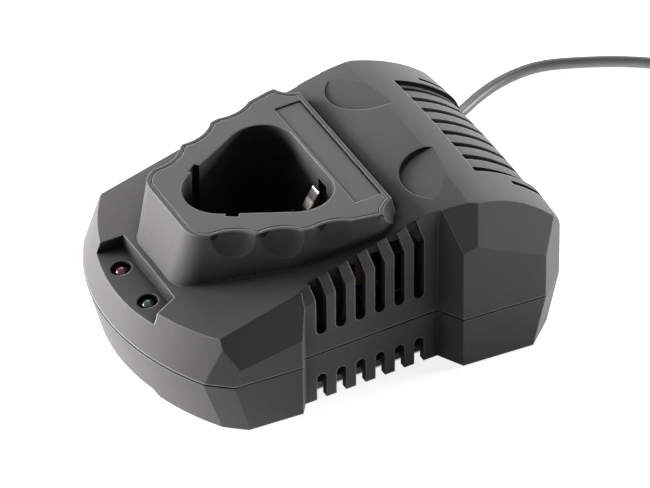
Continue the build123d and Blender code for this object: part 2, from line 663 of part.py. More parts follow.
def lower_housing():
    """The lower half: tray with a raised floor, notches, bosses, standoffs and the lead's slot."""
    floor_top = FLOOR_BOTTOM + FLOOR
    inner = body_form(WALL)
    housing = body_form() & slab(SKIRT_LIFT, PARTING)
    housing -= inner & slab(floor_top, TOP_LIMIT)
    housing -= inner & slab(-1, FLOOR_BOTTOM)
    tongue = body_form(WALL - TONGUE_THICK) - inner
    housing += tongue & slab(PARTING - 1, PARTING + TONGUE)
    for x, station in SCREW_PLACES:
        boss = cylinder_between(FLOOR_BOTTOM, PARTING, BOSS_RADIUS, x, at(station))
        boss -= cylinder_between(FLOOR_BOTTOM - 1, HEAD_SEAT, SCREW_HEAD_RADIUS + 0.3, x, at(station))
        housing -= both_sides(cylinder_between(-1, HEAD_SEAT, SCREW_HEAD_RADIUS + 0.3, x, at(station)))
        housing += both_sides(boss)
        housing -= both_sides(cylinder_between(0, PARTING + 1, SCREW_RADIUS + 0.2, x, at(station)))
    for x, station in BOARD_SCREWS:
        standoff = cylinder_between(floor_top - 0.5, BOARD_BOTTOM, STANDOFF_RADIUS, x, at(station))
        housing += both_sides(standoff)
        housing -= both_sides(cylinder_between(floor_top, BOARD_BOTTOM, SMALL_SCREW, x, at(station)))
    for x, station in FOOT_PLACES:
        collar = cylinder_between(FLOOR_BOTTOM - 1.4, FLOOR_BOTTOM + 0.5, FOOT_RADIUS + 1.0, x, at(station))
        housing += both_sides(collar)
        housing -= both_sides(cylinder_between(0, FLOOR_BOTTOM, FOOT_RADIUS + 0.1, x, at(station)))
    for tool in side_notches():
        housing -= both_sides(tool)
    top_half, bottom_half, height = SKIRT_RELIEF
    relief = Polyline((-bottom_half, 0), (-top_half, height), (top_half, height), (bottom_half, 0), close=True)
    for station in (0.0, LENGTH):
        housing -= Pos(0, at(station), 0) * extrude(Plane.XZ * make_face(relief), 16, both=True)
    housing += saddle() & slab(floor_top - 0.5, PARTING)
    housing -= lead_slot(GROMMET_NECK, -WALL - 1.0, 6.0)
    return housing


def saddle():
    """The block on the floor that the lead is clamped down on."""
    block_under = lead_block(CLAMP_HALF, -30, 0, *CLAMP_PLACE)
    block_under -= lead_cylinder(CORD_RADIUS, *CLAMP_PLACE)
    for side in (-1, 1):
        hole = Rot(90, 0, 0) * Cylinder(SMALL_SCREW, 16.0)
        block_under -= exit_plane() * Pos(side * (CLAMP_HALF - 2.6), 0, sum(CLAMP_PLACE) / 2) * hole
    return block_under


def socket_hooks():
    """Four snap hooks on the well's wall, under the tower's ledge."""
    drop = 2 * PLATE + FIT_GAP
    ring = extrude(hull_of((WELL_FRONT, WELL_REAR), rim_plane(drop), WELL_WALL + HOOK_REACH), -HOOK_THICK)
    half = HOOK_WIDTH / 2
    front = block((-half, half), (at(0), at(WELL_FRONT[1])), (0, TOP_LIMIT))
    sides = block((-BIG, BIG), (at(WELL_REAR[1]) - half, at(WELL_REAR[1]) + half), (0, TOP_LIMIT))
    return ring & (front + sides)


def contact_places():
    """X, width, drop and share of the full length of the positive, negative and sense contact."""
    low = (LOW_DROP, LOW_SHARE)
    return [(CONTACT_X, CONTACT_WIDTH, 0, 1), (-CONTACT_X, CONTACT_WIDTH, *low), (0, SENSE_WIDTH, *low)]


def well_back():
    """Station of the flat rear wall of the well, inside."""
    return WELL_REAR[1] + WELL_REAR[2]


def battery_socket():
    """The insert that takes the battery: scalloped rim plate, three-lobed well, keyways and hooks."""
    walls = upright_well(WELL_WALL, WELL_FLOOR - FLOOR, TOP_LIMIT)
    walls -= rim_plane() * Box(BIG, BIG, BIG, align=(Align.CENTER, Align.CENTER, Align.MIN))
    socket = rim_plate_form(GROOVE, 0, PLATE) + walls + socket_hooks()
    socket -= upright_well(0, WELL_FLOOR, TOP_LIMIT)
    x, station = KEYWAY
    slope = atan2(WELL_REAR[1] - WELL_FRONT[1], WELL_REAR[0] - WELL_FRONT[0])
    key = Box(2 * KEYWAY_DEPTH, KEYWAY_WIDTH, 60.0, align=(Align.CENTER, Align.CENTER, Align.MIN))
    key = Pos(x, at(station), WELL_FLOOR) * Rot(0, 0, degrees(slope) - 90) * key
    socket -= both_sides(key)
    for x, width, drop, share in contact_places():
        half = width / 2 + WINDOW_GAP
        top = HINGE_HEIGHT - drop + share * LEAF_TIP[1] + WINDOW_HEAD
        rear = (at(well_back() - 1), at(well_back() + WELL_WALL + 1))
        socket -= block((x - half, x + half), rear, (CARRIER_TOP - drop, top))
    width, length = LABEL_FIELD
    label_plane = rim_plane(LABEL_DEPTH)
    label = Box(width, length, 5.0, align=(Align.CENTER, Align.CENTER, Align.MIN))
    socket -= label_plane * Pos(0, LABEL_STATION - RIM_STATION, 0) * label
    return socket


def strip(points, thickness, width, x):
    """A bent metal strip that follows points (station, z)."""
    path = FilletPolyline(*[(at(station), z) for station, z in points], radius=LEAF_BEND)
    return Pos(x, 0, 0) * extrude(Plane.YZ * trace(path, thickness), width / 2, both=True)


def hinge_station():
    return well_back() + HINGE_SETBACK


def contact_leaf(x, width, drop, share):
    """A spring contact: it rises in its window, bulges into the well and turns back at the tip."""
    bulge = (well_back() - LEAF_BULGE[0], HINGE_HEIGHT - drop + share * LEAF_BULGE[1])
    tip = (well_back() - LEAF_TIP[0], HINGE_HEIGHT - drop + share * LEAF_TIP[1])
    foot = (hinge_station(), HINGE_HEIGHT - drop)
    return strip([foot, bulge, tip], LEAF_THICK, width, x)


def root_points(drop):
    """The fixed end of a contact: from the hinge bend over the carrier's top and down to the board."""
    strip_height = CARRIER_TOP - drop + ROOT_LIFT + LEAF_THICK / 2
    return [
        (hinge_station() + 0.1, HINGE_HEIGHT - 0.5 - drop),
        (hinge_station() + 1.2, strip_height),
        (ROOT_STATION, strip_height),
        (ROOT_STATION, BOARD_BOTTOM + BOARD),
    ]


def contact_roots():
    roots = [strip(root_points(drop), LEAF_THICK, width, x) for x, width, drop, _ in contact_places()]
    return Compound(roots)


def contact_carrier():
    """The block behind the well that holds the fixed ends of the contacts."""
    low = BOARD_BOTTOM + BOARD + CARRIER_LIFT
    wall = well_back() + WELL_WALL
    carrier = block((-CARRIER_HALF, CARRIER_HALF), (at(wall), at(wall + CARRIER_DEPTH)), (low, CARRIER_TOP))
    for x, width, drop, _ in contact_places():
        if drop:
            half = width / 2 + WINDOW_GAP
            space = (CARRIER_TOP - drop, CARRIER_TOP + 1)
            carrier -= block((x - half, x + half), (at(wall - 1), at(wall + CARRIER_DEPTH + 1)), space)
        root = strip(root_points(drop), LEAF_THICK + 0.1, width + 0.1, x)
        carrier -= root
    return carrier


def lamp(side):
    """A five-millimetre indicator lamp, standing on its board and looking out of the recess."""
    bottom = (Align.CENTER, Align.CENTER, Align.MIN)
    barrel = Cylinder(LAMP_RADIUS, LAMP_LENGTH - LAMP_RADIUS, align=bottom)
    barrel += Pos(0, 0, LAMP_LENGTH - LAMP_RADIUS) * Sphere(LAMP_RADIUS)
    barrel += Cylinder(LAMP_RADIUS + LAMP_FLANGE[0], LAMP_FLANGE[1], align=bottom)
    return lamp_plane(LAMP_LENGTH) * Pos(side * LAMP_X, 0, 0) * barrel


def lamp_board():
    """The small board that carries both lamps."""
    length, width, thick = LAMP_BOARD
    board = Box(length, width, thick, align=(Align.CENTER, Align.CENTER, Align.MAX))
    for side in (-1, 1):
        board -= Pos(side * LAMP_POST_X, 0, 0) * Cylinder(LAMP_SCREW + FIT_GAP, 4 * thick)
    return lamp_plane(LAMP_LENGTH) * board


def lamp_screws():
    """Two small screws from below through the lamp board into the recess's posts."""
    screws = []
    for side in (-1, 1):
        screw = Cylinder(*LAMP_SCREW_HEAD, align=(Align.CENTER, Align.CENTER, Align.MAX))
        screw += upright_cylinder(LAMP_SCREW, LAMP_SCREW_LENGTH)
        screws.append(lamp_plane(LAMP_LENGTH + LAMP_BOARD[2]) * Pos(side * LAMP_POST_X, 0, 0) * screw)
    return Compound(screws)


def lamp_ribbon():
    """The flat lead from the lamp board to the front of the main board."""
    under = lamp_plane(LAMP_LENGTH + LAMP_BOARD[2] + FIT_GAP)
    start = under.from_local_coords(Vector(0, RIBBON_START, 0))
    board_top = BOARD_BOTTOM + BOARD
    landing = at(BOARD_START + RIBBON_LANDING)
    points = [
        (start.Y, start.Z),
        (start.Y + RIBBON[1], board_top + RIBBON_LIFT),
        (landing, board_top + RIBBON_LIFT),
        (landing, board_top),
    ]
    path = FilletPolyline(*points, radius=RIBBON_BEND)
    return extrude(Plane.YZ * trace(path, RIBBON[1]), RIBBON[0] / 2, both=True)


def circuit_board():
    """The main board, screwed to four standoffs."""
    board_z = (BOARD_BOTTOM, BOARD_BOTTOM + BOARD)
    board = block((-BOARD_HALF, BOARD_HALF), (at(BOARD_START), at(BOARD_END)), board_z)
    for x, station in BOARD_SCREWS:
        board -= both_sides(cylinder_between(0, TOP_LIMIT, SMALL_SCREW + 0.3, x, at(station)))
    return board


def board_screws():
    """Four screws that hold the main board."""
    top = BOARD_BOTTOM + BOARD
    screws = []
    for x, station in BOARD_SCREWS:
        for side in (-1, 1):
            head = cylinder_between(top, top + SMALL_HEAD[1], SMALL_HEAD[0], side * x, at(station))
            shank = cylinder_between(top - SMALL_SCREW_LENGTH, top, SMALL_SCREW, side * x, at(station))
            screws.append(head + shank)
    return Compound(screws)


def on_board(x, station, shape):
    """A piece set on top of the main board."""
    return Pos(x, at(station), BOARD_BOTTOM + BOARD) * shape


def upright_box(length, width, height):
    return Box(length, width, height, align=(Align.CENTER, Align.CENTER, Align.MIN))


def upright_cylinder(radius, height):
    return Cylinder(radius, height, align=(Align.CENTER, Align.CENTER, Align.MIN))


def transformer_core():
    """Two E halves of ferrite on a coil former: a window frame with a round middle leg."""
    length, depth, height = CORE
    leg = length * 0.13
    frame = Pos(0, 0, BOBBIN_BASE) * upright_box(length, depth, height)
    window = Box(length - 2 * leg, depth * 2, height - 2 * leg)
    frame -= Pos(0, 0, BOBBIN_BASE + height / 2) * window
    frame += Pos(0, 0, BOBBIN_BASE) * upright_cylinder(CORE_LEG, height)
    return on_board(*TRANSFORMER_PLACE, frame)


def transformer_bobbin():
    """The coil former with its pin rails on the board."""
    length, depth, height = CORE
    leg = length * 0.13
    inner = height - 2 * leg
    base = BOBBIN_BASE + leg
    flange = upright_box(length - 2 * leg - 0.4, BOBBIN_DEPTH, 1.2)
    bobbin = Pos(0, 0, base + 0.1) * flange + Pos(0, 0, base + inner - 1.3) * flange
    bobbin += Pos(0, 0, base + 0.1) * upright_cylinder(CORE_LEG + 1.0, inner - 0.2)
    for side in (-1, 1):
        rail = Pos(0, side * (BOBBIN_DEPTH / 2 - 2), 0) * upright_box(length - 2 * leg - 0.4, 4.0, base + 1.0)
        bobbin += rail
    bobbin -= upright_cylinder(CORE_LEG + 0.1, 3 * height)
    return on_board(*TRANSFORMER_PLACE, bobbin)


def transformer_winding():
    """The taped winding on the coil former."""
    length, depth, height = CORE
    leg = length * 0.13
    inner = height - 2 * leg
    base = BOBBIN_BASE + leg
    coil = upright_cylinder(length / 2 - leg - 0.6, inner - 2.8) - upright_cylinder(CORE_LEG + 1.05, 3 * height)
    return on_board(*TRANSFORMER_PLACE, Pos(0, 0, base + 1.4) * coil)


def capacitor(radius, height):
    """An electrolytic can, rolled in near its foot and scored on top."""
    can = fillet(upright_cylinder(radius, height).edges().filter_by(GeomType.CIRCLE), radius * 0.12)
    can -= Pos(0, 0, 2.2) * Torus(radius + 0.35, 0.7)
    can -= Pos(0, 0, height) * (Box(radius * 1.3, 0.4, 0.5) + Box(0.4, radius * 1.3, 0.5))
    return can


def output_capacitors():
    cans = [on_board(x, station, capacitor(*OUTPUT_CAP)) for x, station in OUTPUT_CAP_PLACES]
    return Compound(cans)


def heatsink():
    """An upright finned extrusion that cools the power transistor."""
    length, width, height = HEATSINK
    sink = upright_box(length, 2.5, height)
    for number in range(HEATSINK_FINS):
        x = (number - (HEATSINK_FINS - 1) / 2) * (length - 1.4) / (HEATSINK_FINS - 1)
        sink += Pos(x, -width / 2, 0) * upright_box(1.4, width, height)
    return on_board(*HEATSINK_PLACE, sink)


def power_transistor():
    """The transistor against the heatsink: body, tab with its hole, and three legs."""
    body = Pos(0, TRANSISTOR[1] / 2, 6.0) * upright_box(*TRANSISTOR)
    tab = Pos(0, 0.65, 6.0 + TRANSISTOR[2]) * upright_box(TRANSISTOR[0], 1.3, 6.0)
    tab -= Pos(0, 0, 9.2 + TRANSISTOR[2]) * Rot(90, 0, 0) * Cylinder(1.8, 9.0)
    legs = [Pos(pitch * 2.54, 2.4, 0) * upright_box(0.8, 0.5, 6.2) for pitch in (-1, 0, 1)]
    x, station = HEATSINK_PLACE
    return on_board(x, station + 1.25, body + tab + legs)


def rectifier():
    """The mains bridge rectifier, a flat upright block on four legs."""
    body = Pos(0, 0, 3.0) * upright_box(15.0, 3.6, 11.0)
    body = chamfer(body.edges().filter_by(Axis.Y).sort_by(Axis.X)[-1:], 1.8)
    legs = [Pos(x, 0, 0) * upright_box(0.8, 0.6, 3.2) for x in (-5.7, -1.9, 1.9, 5.7)]
    return on_board(*RECTIFIER_PLACE, body + legs)


def fuse():
    """A glass tube fuse with its two caps, lying in clips."""
    axis_height = 4.2
    tube = Rot(90, 0, 0) * Cylinder(2.5, 12.0)
    for side in (-1, 1):
        tube += Pos(0, side * 7.5, 0) * Rot(90, 0, 0) * Cylinder(2.6, 5.0)
    lying = Pos(0, 0, axis_height) * tube
    clips = [Pos(0, side * 7.5, 0) * upright_box(6.4, 2.4, 5.4) for side in (-1, 1)]
    for clip in clips:
        lying += clip
    return on_board(*FUSE_PLACE, lying)


def housing_screws():
    """Four screws from below that join the halves: pan head with a cross recess, and shank."""
    screws = []
    for x, station in SCREW_PLACES:
        for side in (-1, 1):
            head = cylinder_between(HEAD_SEAT - SCREW_HEAD, HEAD_SEAT, SCREW_HEAD_RADIUS, 0, 0)
            low = HEAD_SEAT - SCREW_HEAD
            cross = block((-1.7, 1.7), (-0.4, 0.4), (low - 1, low + 1.2))
            head -= cross + Rot(0, 0, 90) * cross
            shank = cylinder_between(HEAD_SEAT, HEAD_SEAT + SCREW_LENGTH, SCREW_RADIUS, 0, 0)
            screws.append(Pos(side * x, at(station), 0) * (head + shank))
    return Compound(screws)


def rubber_feet():
    """Four round feet, stuck into collars under the floor."""
    feet = []
    for x, station in FOOT_PLACES:
        for side in (-1, 1):
            foot = upright_cylinder(FOOT_RADIUS, FLOOR_BOTTOM)
            foot = chamfer(foot.edges().sort_by(Axis.Z)[:1], 0.6)
            feet.append(Pos(side * x, at(station), 0) * foot)
    return Compound(feet)


def grommet():
    """The lead's strain relief: flanges on both sides of the wall and a ringed, tapering tail."""
    radius, thick = GROMMET_FLANGE
    body = lead_slot(GROMMET_NECK - FIT_GAP, -WALL - 2 * FIT_GAP, 2 * FIT_GAP)
    body += lead_cylinder(radius, FIT_GAP, FIT_GAP + thick)
    inner_flange = lead_cylinder(radius, -WALL - FIT_GAP - thick, -WALL - FIT_GAP)
    body += inner_flange & slab(FLOOR_BOTTOM + FLOOR + FIT_GAP, PARTING)
    body &= slab(0, PARTING)
    body += lead_cylinder(TAIL_RADII[0], 1.0, GROMMET_TAIL, TAIL_RADII[1])
    rings = int(GROMMET_TAIL / TAIL_PITCH) - 1
    for number in range(rings):
        start = 3.2 + number * TAIL_PITCH
        share = start / GROMMET_TAIL
        radius_here = TAIL_RADII[0] + (TAIL_RADII[1] - TAIL_RADII[0]) * share
        groove = lead_cylinder(radius_here + 1, start, start + TAIL_GROOVE)
        body -= groove - lead_cylinder(radius_here - 0.75, start - 1, start + TAIL_GROOVE + 1)
    return body - lead_cylinder(CORD_RADIUS, -20, GROMMET_TAIL + 5)


def cord_sheath_end():
    """The lead's end inside the housing, clamped and running out through the strain relief."""
    return lead_cylinder(CORD_RADIUS, SHEATH_END, GROMMET_TAIL)


def cord_clamp():
    """The bar that presses the lead onto its saddle."""
    bar = lead_block(CLAMP_HALF, 0.05, CORD_RADIUS + CLAMP_THICK, *CLAMP_PLACE)
    bar -= lead_cylinder(CORD_RADIUS, -20, 0)
    for side in (-1, 1):
        bar -= clamp_axis(side) * Cylinder(SMALL_SCREW + 0.2, 30)
    return bar


def clamp_axis(side):
    """Place of a clamp screw, with its Z up and out of the bar."""
    return exit_plane() * Pos(side * (CLAMP_HALF - 2.6), 0, sum(CLAMP_PLACE) / 2) * Rot(-90, 0, 0)


def clamp_screws():
    screws = []
    top = CORD_RADIUS + CLAMP_THICK
    length = SMALL_SCREW_LENGTH + CORD_RADIUS
    for side in (-1, 1):
        head = Pos(0, 0, top) * upright_cylinder(*SMALL_HEAD)
        shank = Pos(0, 0, top - length) * upright_cylinder(SMALL_SCREW, length)
        screws.append(clamp_axis(side) * (head + shank))
    return Compound(screws)


def mains_wires():
    """The lead's two cores, from the end of its sheath to the rear edge of the board."""
    wires = []
    for side in (-1, 1):
        start = exit_plane().from_local_coords(Vector(side * CORE_OFFSET, 0, SHEATH_END))
        inward = exit_plane().from_local_coords(Vector(side * CORE_OFFSET, 0, SHEATH_END - 4.0))
        x = WIRE_LANDING[0] + side * 2.5
        above = Vector(x, at(WIRE_LANDING[1]), BOARD_BOTTOM + BOARD + 4.0)
        landing = Vector(x, at(WIRE_LANDING[1]), BOARD_BOTTOM + BOARD)
        path = FilletPolyline(start, inward, above, landing, radius=1.5)
        wires.append(sweep(Plane(path @ 0, z_dir=path % 0) * Circle(CORE_WIRE), path))
    return Compound(wires)


def tube(points, radius):
    """A round tube along points, each corner rounded as far as its shorter run allows."""
    corners = list(zip(points, points[1:], points[2:]))
    radii = []
    for before, corner, after in corners:
        turn = radians((corner - before).get_angle(after - corner))
        shorter = min((corner - before).length, (after - corner).length)
        radii.append(0.45 * shorter / tan(turn / 2))
    print("bend radii:", " ".join(f"{bend:.0f}" for bend in radii))
    path = FilletPolyline(*points, radius=radii)
    body = sweep(Plane(path @ 0, z_dir=path % 0) * Circle(radius), path)
    print(f"tube volume {body.volume:.0f}, section times length {pi * radius**2 * path.length:.0f}")
    return body


def cord_lead():
    """The mains lead on the floor, from the strain relief to the coil."""
    exit_points = [(0, 0, GROMMET_TAIL), (0, 0, GROMMET_TAIL + EXIT_RUN)]
    start, straight = (exit_plane().from_local_coords(Vector(*point)) for point in exit_points)
    return tube([start, straight] + [Vector(*point) for point in CORD_ROUTE], CORD_RADIUS)


def coil_place():
    return Pos(*COIL_CENTRE, 0)


def cord_coil():
    """The wound length of the lead, as one ring of the turns' outer shape."""
    section = Pos(COIL_RADIUS, COIL_HEIGHT / 2) * RectangleRounded(2 * COIL_HALF_WIDTH, COIL_HEIGHT, CORD_RADIUS)
    ring = revolve(Plane.XZ * section, Axis.Z)
    notch = Pos(0, -COIL_RADIUS, 0) * Box(TIE_WIDTH + 0.4, 2 * COIL_HALF_WIDTH + 2, 2 * TIE_THICK)
    return coil_place() * (ring - notch)


def coil_tie():
    """The strap that holds the turns together."""
    half = COIL_HALF_WIDTH + TIE_ROOM
    y_outer = (-COIL_RADIUS - half - TIE_THICK, -COIL_RADIUS + half + TIE_THICK)
    y_inner = (-COIL_RADIUS - half, -COIL_RADIUS + half)
    x_range = (-TIE_WIDTH / 2, TIE_WIDTH / 2)
    strap = block(x_range, y_outer, (0, COIL_HEIGHT + FIT_GAP + TIE_THICK))
    strap -= block((-BIG, BIG), y_inner, (TIE_THICK, COIL_HEIGHT + FIT_GAP))
    return coil_place() * strap


def plug_plane():
    """Frame of the plug: origin where its strain relief starts, X along the plug."""
    turn = radians(PLUG_TURN)
    away = radians(PLUG_TURN + 90)
    edge = COIL_RADIUS + COIL_HALF_WIDTH - CORD_RADIUS
    x = COIL_CENTRE[0] + edge * cos(away) + PLUG_START * cos(turn)
    y = COIL_CENTRE[1] + edge * sin(away) + PLUG_START * sin(turn)
    return Plane((x, y, PLUG_THICK / 2), x_dir=(cos(turn), sin(turn), 0), z_dir=(0, 0, 1))


def cord_tail():
    """The short end of the lead between the coil and the plug."""
    plane = plug_plane()
    low = COIL_HEIGHT / 2 - PLUG_THICK / 2
    points = [(-PLUG_START - 3.0, 0, low), (-PLUG_START + 4.5, 0, low + 0.1), (-5.0, 0.0, 0), (0, 0, 0.02)]
    return tube([plane.from_local_coords(Vector(*point)) for point in points], CORD_RADIUS)


def plug_body():
    """The flat moulded mains plug with its tapered strain relief."""
    right = list(PLUG_OUTLINE)
    left = [(x, -y) for x, y in reversed(right)]
    outline = make_face(Polyline(*right, *left, close=True))
    body = Pos(PLUG_RELIEF, 0, -PLUG_THICK / 2) * extrude(outline, PLUG_THICK)
    body = fillet(body.edges().filter_by(Axis.Z), 2.0)
    body = chamfer(body.faces().filter_by(Axis.Z).edges(), 1.2)
    relief = Rot(0, 90, 0) * Cone(TAIL_RADII[1], TAIL_RADII[0] + 0.9, PLUG_RELIEF + 1.0)
    body += Pos((PLUG_RELIEF + 1.0) / 2, 0, 0) * relief
    body -= Rot(0, 90, 0) * Cylinder(CORD_RADIUS, 0.08)
    return plug_plane() * body


def plug_pins():
    """The plug's two round pins with domed ends."""
    face = PLUG_RELIEF + PLUG_OUTLINE[-1][0]
    pins = []
    for side in (-1, 1):
        pin = Rot(0, 90, 0) * upright_cylinder(PIN_RADIUS, PIN_LENGTH)
        pin = fillet(pin.edges().filter_by(GeomType.CIRCLE).sort_by(Axis.X)[-1:], PIN_RADIUS * 0.6)
        pins.append(plug_plane() * Pos(face, side * PIN_PITCH / 2, 0) * pin)
    return Compound(pins)


def contact_leaves():
    """The three sprung leaves by node name."""
    names = ("contact_positive", "contact_negative", "contact_sense")
    return {name: contact_leaf(*place) for name, place in zip(names, contact_places())}


def build():
    """Every node of the charger by name."""
    nodes = {
        "upper_housing": upper_housing(),
        "lower_housing": lower_housing(),
        "battery_socket": battery_socket(),
        "contact_carrier": contact_carrier(),
        "contact_roots": contact_roots(),
        **contact_leaves(),
        "lamp_red": lamp(-1),
        "lamp_green": lamp(1),
        "lamp_board": lamp_board(),
        "lamp_screws": lamp_screws(),
        "lamp_ribbon": lamp_ribbon(),
        "circuit_board": circuit_board(),
        "board_screws": board_screws(),
        "transformer_core": transformer_core(),
        "transformer_bobbin": transformer_bobbin(),
        "transformer_winding": transformer_winding(),
        "input_capacitor": on_board(*INPUT_CAP_PLACE, capacitor(*INPUT_CAP)),
        "output_capacitors": output_capacitors(),
        "heatsink": heatsink(),
        "power_transistor": power_transistor(),
        "rectifier": rectifier(),
        "fuse": fuse(),
        "housing_screws": housing_screws(),
        "rubber_feet": rubber_feet(),
        "grommet": grommet(),
        "cord_sheath_end": cord_sheath_end(),
        "cord_clamp": cord_clamp(),
        "clamp_screws": clamp_screws(),
        "mains_wires": mains_wires(),
        "cord_lead": cord_lead(),
        "cord_coil": cord_coil(),
        "coil_tie": coil_tie(),
        "cord_tail": cord_tail(),
        "plug_body": plug_body(),
        "plug_pins": plug_pins(),
    }
    return nodes


os.makedirs("parts", exist_ok=True)
for name, shape in build().items():
    export_step(shape, f"parts/{name}.step")
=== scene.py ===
from math import cos, radians, sin

import bpy
from mathutils import Matrix, Vector


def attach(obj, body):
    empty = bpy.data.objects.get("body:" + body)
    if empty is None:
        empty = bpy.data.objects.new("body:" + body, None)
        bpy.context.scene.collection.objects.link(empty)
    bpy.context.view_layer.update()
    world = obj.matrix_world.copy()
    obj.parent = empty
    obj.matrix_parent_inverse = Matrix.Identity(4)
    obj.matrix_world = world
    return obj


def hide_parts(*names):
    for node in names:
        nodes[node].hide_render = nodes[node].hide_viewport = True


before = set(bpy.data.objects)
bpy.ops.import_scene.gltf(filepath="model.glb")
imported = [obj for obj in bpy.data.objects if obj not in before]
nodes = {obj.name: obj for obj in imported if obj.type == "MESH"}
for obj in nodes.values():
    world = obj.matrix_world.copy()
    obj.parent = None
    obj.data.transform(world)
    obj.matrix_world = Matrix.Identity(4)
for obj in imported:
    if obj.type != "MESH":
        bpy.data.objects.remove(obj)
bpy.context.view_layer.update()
scene = bpy.context.scene

# ---- Camera -------------------------------------------------------------------------------------------------
# A long lens looks down on the charger from beyond its front right corner. It stands about two metres away, so
# that the charger's edges stay nearly parallel.
CAMERA_PLACE = Vector((1.53063, -0.74078, 1.23316))
CAMERA_AZIMUTH = radians(63.998)
CAMERA_ELEVATION = radians(35.429)
CAMERA_ROLL = radians(0.454)
CAMERA_LENS = 394.25       # millimetres, for a sensor this wide
SENSOR_WIDTH = 36
CAMERA_REACH = 20          # metres

level_right = Vector((cos(CAMERA_AZIMUTH), sin(CAMERA_AZIMUTH), 0))
back = Vector((sin(CAMERA_AZIMUTH) * cos(CAMERA_ELEVATION), -cos(CAMERA_AZIMUTH) * cos(CAMERA_ELEVATION),
               sin(CAMERA_ELEVATION)))
level_up = back.cross(level_right)
right = cos(CAMERA_ROLL) * level_right - sin(CAMERA_ROLL) * level_up
up = sin(CAMERA_ROLL) * level_right + cos(CAMERA_ROLL) * level_up
camera_data = bpy.data.cameras.new("camera")
camera_data.lens = CAMERA_LENS
camera_data.sensor_width = SENSOR_WIDTH
camera_data.clip_end = CAMERA_REACH
camera = bpy.data.objects.new("camera", camera_data)
camera.matrix_world = Matrix.Translation(CAMERA_PLACE) @ Matrix((right, up, back)).transposed().to_4x4()
scene.collection.objects.link(camera)
scene.camera = camera


# ---- Mains lead ---------------------------------------------------------------------------------------------
# Round flexible lead, 3.6 mm thick and 1.7 m long, extruded in PVC. It leaves the strain relief at the rear left
# corner and lies on the surface. The length that isn't in use is wound into a tied coil of four by three turns.
CORD_RADIUS = 0.0018
CORD_EXIT = (-0.05737, 0.07254, 0.00477)
CORD_ROUTE = [
    CORD_EXIT,
    (-0.06294, 0.07812, 0.00338),
    (-0.0689, 0.0867, 0.0019),
    (-0.0744, 0.0954, 0.00185),
    (-0.0790, 0.1066, 0.00185),
    (-0.0806, 0.1190, 0.00185),
    (-0.0764, 0.1315, 0.00185),
    (-0.0706, 0.1442, 0.00185),
    (-0.0626, 0.1556, 0.00185),
    (-0.0582, 0.1686, 0.00185),
]
COIL_CENTRE = (-0.0310, 0.1780)
COIL_OUTER = 0.0269        # radius of the outermost turn's middle
COIL_PITCH = 2 * CORD_RADIUS
COIL_CELLS = [             # the turns in the order they are wound: ring from the outside, layer from the bottom
    (0, 0), (1, 0), (2, 0), (3, 0), (3, 1), (3, 2), (2, 2), (2, 1), (1, 1), (1, 2), (0, 2), (0, 1),
]
COIL_START = 184.0         # degrees round the coil where the first turn begins; it is wound clockwise
COIL_END = 52.0
COIL_HEIGHT = 1.03 * CORD_RADIUS  # of the bottom layer's middle
POINTS_PER_TURN = 16
FIRST_STEP = 285.0         # degrees after the start at which the first turn moves over to the next place
STEP_EVERY = 345.0
STEP_SPAN = 48.0           # degrees that the move takes
PLUG_TURN = radians(-45)   # direction of the plug, from +X
PLUG_ORIGIN = Vector((0.00075, 0.18429, 0.0068))  # where the plug's own strain relief begins
PLUG_ENTRY = [(-0.0135, -0.0013), (-0.005, 0.0), (0.004, 0.0)]  # distances along the plug's axis, and heights
TUBE_STEPS = 6             # of the tube, along each span of the spline and round a quarter of its section


def coil_cell(travelled):
    """Ring and layer of the winding after so many degrees, as fractions while it moves between two places."""
    passed = (travelled - FIRST_STEP) / STEP_EVERY
    number = min(max(int(passed + 1), 0), len(COIL_CELLS) - 1)
    ring, layer = COIL_CELLS[number]
    since = travelled - (FIRST_STEP + (number - 1) * STEP_EVERY)
    if number > 0 and since < STEP_SPAN:
        share = since / STEP_SPAN
        share = share * share * (3 - 2 * share)
        old_ring, old_layer = COIL_CELLS[number - 1]
        ring = old_ring + (ring - old_ring) * share
        layer = old_layer + (layer - old_layer) * share
    return ring, layer


def coil_points():
    """Control points of the winding, pushed out by what a spline cuts inside them."""
    step = 360 / POINTS_PER_TURN
    total = COIL_START - COIL_END + 360 * (len(COIL_CELLS) - 1)
    push = 1 / (0.75 + 0.25 * cos(radians(step)))
    points = []
    for number in range(int(total / step) + 1):
        travelled = number * step
        ring, layer = coil_cell(travelled)
        radius = (COIL_OUTER - ring * COIL_PITCH) * push
        angle = radians(COIL_START - travelled)
        points.append((COIL_CENTRE[0] + radius * cos(angle), COIL_CENTRE[1] + radius * sin(angle),
                       COIL_HEIGHT + layer * COIL_PITCH))
    return points


def along_plug(distance, height):
    """A point on the plug's axis, in front of its strain relief where distance is negative."""
    return PLUG_ORIGIN + Vector((distance * cos(PLUG_TURN), distance * sin(PLUG_TURN), height))


def spline_curve(name, points, radius):
    """A round cord along one smooth curve. Each point carries the radius, which scales a bevel one metre deep."""
    curve = bpy.data.curves.new(name, "CURVE")
    curve.dimensions = "3D"
    spline = curve.splines.new("NURBS")
    spline.points.add(len(points) - 1)
    for point, place in zip(spline.points, points):
        point.co = (*place, 1)
        point.radius = radius
    spline.order_u = 3
    spline.use_endpoint_u = True
    curve.resolution_u = TUBE_STEPS
    curve.bevel_depth = 1.0
    curve.bevel_resolution = TUBE_STEPS
    curve.use_fill_caps = True
    piece = bpy.data.objects.new(name, curve)
    scene.collection.objects.link(piece)
    return piece


tail = [along_plug(distance, height) for distance, height in PLUG_ENTRY]
cord = spline_curve("mains_lead", CORD_ROUTE + coil_points() + tail, CORD_RADIUS)
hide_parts("cord_lead", "cord_coil", "cord_tail")
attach(cord, "charger")


